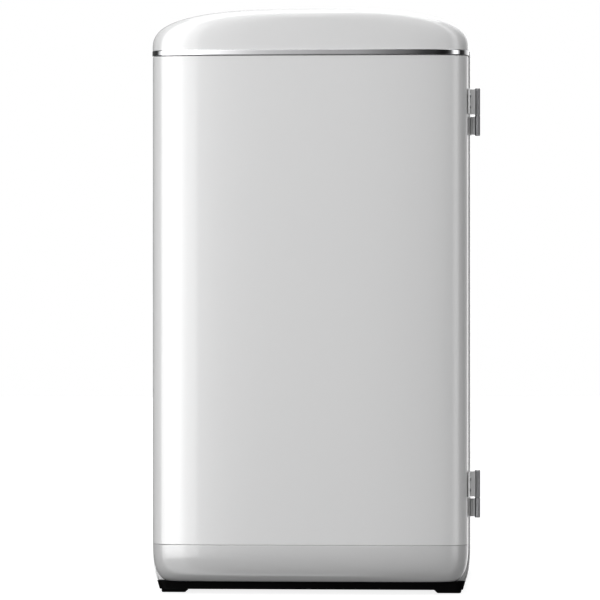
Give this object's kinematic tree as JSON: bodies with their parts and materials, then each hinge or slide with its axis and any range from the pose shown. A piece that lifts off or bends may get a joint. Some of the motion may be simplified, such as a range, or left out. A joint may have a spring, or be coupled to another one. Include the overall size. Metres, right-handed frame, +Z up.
{
  "type": "trash compactor",
  "caption": "Free-standing trash compactor: domed cap, bright trim band, right-hinged door over a pull-out bin, screw-driven ram, black base and feet.",
  "frame": {"origin": "on the floor, at the middle of the object's footprint", "axes": "+Z up, -Y towards the front of the door, +X towards the hinges"},
  "size_m": [0.485, 0.6029, 0.861],
  "materials": {
    "white_enamel": "gloss",
    "white_liner": "satin",
    "trim_chrome": "polished",
    "hinge_steel": "brushed",
    "black_paint": "satin",
    "black_plastic": "matte",
    "grey_plastic": "matte",
    "magnet_grey": "matte",
    "galvanised": "satin",
    "machine_steel": "machined",
    "black_rubber": "matte",
    "gasket_grey": "matte",
    "start_green": "gloss",
    "stop_red": "gloss",
    "motor_paint": "satin"
  },
  "bodies": {
    "cabinet": {"left_side_panel": "white_enamel", "right_side_panel": "white_enamel", "rear_cover": "galvanised", "top_cap": "white_enamel", "trim_band": "trim_chrome", "lower_front_panel": "white_enamel", "base_pan": "black_paint", "front_left_foot": "black_rubber", "front_right_foot": "black_rubber", "rear_left_foot": "black_rubber", "rear_right_foot": "black_rubber", "left_front_post": "white_enamel", "right_front_post": "white_enamel", "top_front_rail": "white_enamel", "bottom_front_rail": "white_enamel", "chamber_floor": "galvanised", "left_chamber_liner": "galvanised", "right_chamber_liner": "galvanised", "chamber_rear_wall": "galvanised", "screw_top_beam": "galvanised", "left_thrust_bearing": "machine_steel", "right_thrust_bearing": "machine_steel", "motor": "motor_paint", "drive_chain": "machine_steel", "left_slide_rail": "machine_steel", "right_slide_rail": "machine_steel", "control_panel": "black_plastic", "door_switch": "black_plastic", "control_board": "grey_plastic", "odour_filter": "black_plastic", "power_inlet": "black_plastic", "lower_cabinet_hinge": "hinge_steel", "upper_cabinet_hinge": "hinge_steel", "lower_hinge_pin": "machine_steel", "upper_hinge_pin": "machine_steel"},
    "door": {"door_outer_panel": "white_enamel", "door_inner_panel": "white_liner", "door_gasket": "gasket_grey", "door_magnet": "magnet_grey", "door_grip": "black_plastic", "lower_door_hinge": "hinge_steel", "upper_door_hinge": "hinge_steel"},
    "carriage": {"bin_carriage": "galvanised", "trash_bin": "grey_plastic"},
    "handle": {"bin_handle": "black_plastic"},
    "lock": {"bin_lock": "black_plastic"},
    "ram": {"ram_beam": "galvanised", "ram_column": "galvanised", "ram_plate": "galvanised", "left_screw_nut": "machine_steel", "right_screw_nut": "machine_steel"},
    "left_screw": {"left_lead_screw": "machine_steel", "left_sprocket": "machine_steel"},
    "right_screw": {"right_lead_screw": "machine_steel", "right_sprocket": "machine_steel"},
    "gear": {"drive_gear": "machine_steel"},
    "motor_shaft": {"motor_pinion": "machine_steel"},
    "start": {"start_button": "start_green"},
    "stop": {"stop_button": "stop_red"},
    "key": {"key_switch": "machine_steel"}
  },
  "joints": [
    {"name": "door_swing", "type": "hinge", "parent": "cabinet", "child": "door", "pos_m": [0.2385, -0.238, 0.43], "axis": [0, 0, 1], "range_deg": [0, 120]},
    {"name": "bin_slide", "type": "slide", "parent": "cabinet", "child": "carriage", "axis": [0, -1, 0], "range_m": [0, 0.26]},
    {"name": "handle_lift", "type": "hinge", "parent": "carriage", "child": "handle", "pos_m": [-0.0075, -0.181, 0.42], "axis": [-1, 0, 0], "range_deg": [0, 85]},
    {"name": "lock_swing", "type": "hinge", "parent": "carriage", "child": "lock", "pos_m": [0.1325, -0.1823, 0.1325], "axis": [0, -1, 0], "range_deg": [0, 70]},
    {"name": "gear_turn", "type": "hinge", "parent": "cabinet", "child": "gear", "pos_m": [-0.0075, 0.171, 0.05], "axis": [0, 0, -1], "range_deg": [-10800, 0]},
    {"name": "ram_slide", "type": "slide", "parent": "cabinet", "child": "ram", "axis": [0, 0, 1], "range_m": [-0.2401, 0.0001]},
    {"name": "left_screw_turn", "type": "hinge", "parent": "cabinet", "child": "left_screw", "pos_m": [-0.1875, -0.005, 0.05], "axis": [0, 0, -1], "range_deg": [-5401, 1]},
    {"name": "right_screw_turn", "type": "hinge", "parent": "cabinet", "child": "right_screw", "pos_m": [0.1725, -0.005, 0.05], "axis": [0, 0, -1], "range_deg": [-5401, 1]},
    {"name": "motor_turn", "type": "hinge", "parent": "cabinet", "child": "motor_shaft", "pos_m": [-0.0075, 0.243, 0.05], "axis": [0, 0, -1], "range_deg": [-1, 54001]},
    {"name": "start_press", "type": "slide", "parent": "cabinet", "child": "start", "axis": [0, 1, 0], "range_m": [0, 0.0025], "stiffness_N_per_m": 400, "springref_m": -0.001},
    {"name": "stop_press", "type": "slide", "parent": "cabinet", "child": "stop", "axis": [0, 1, 0], "range_m": [0, 0.0025], "stiffness_N_per_m": 400, "springref_m": -0.001},
    {"name": "key_turn", "type": "hinge", "parent": "cabinet", "child": "key", "pos_m": [0.0625, -0.2385, 0.728], "axis": [0, 1, 0], "range_deg": [0, 90]}
  ],
  "couplings": [
    {"joint": "bin_slide", "follows": "door_swing", "m_per_rad": 0.12},
    {"joint": "ram_slide", "follows": "gear_turn", "m_per_rad": 0.0012732},
    {"joint": "left_screw_turn", "follows": "gear_turn", "ratio": 0.5},
    {"joint": "right_screw_turn", "follows": "gear_turn", "ratio": 0.5},
    {"joint": "motor_turn", "follows": "gear_turn", "ratio": -5}
  ]
}
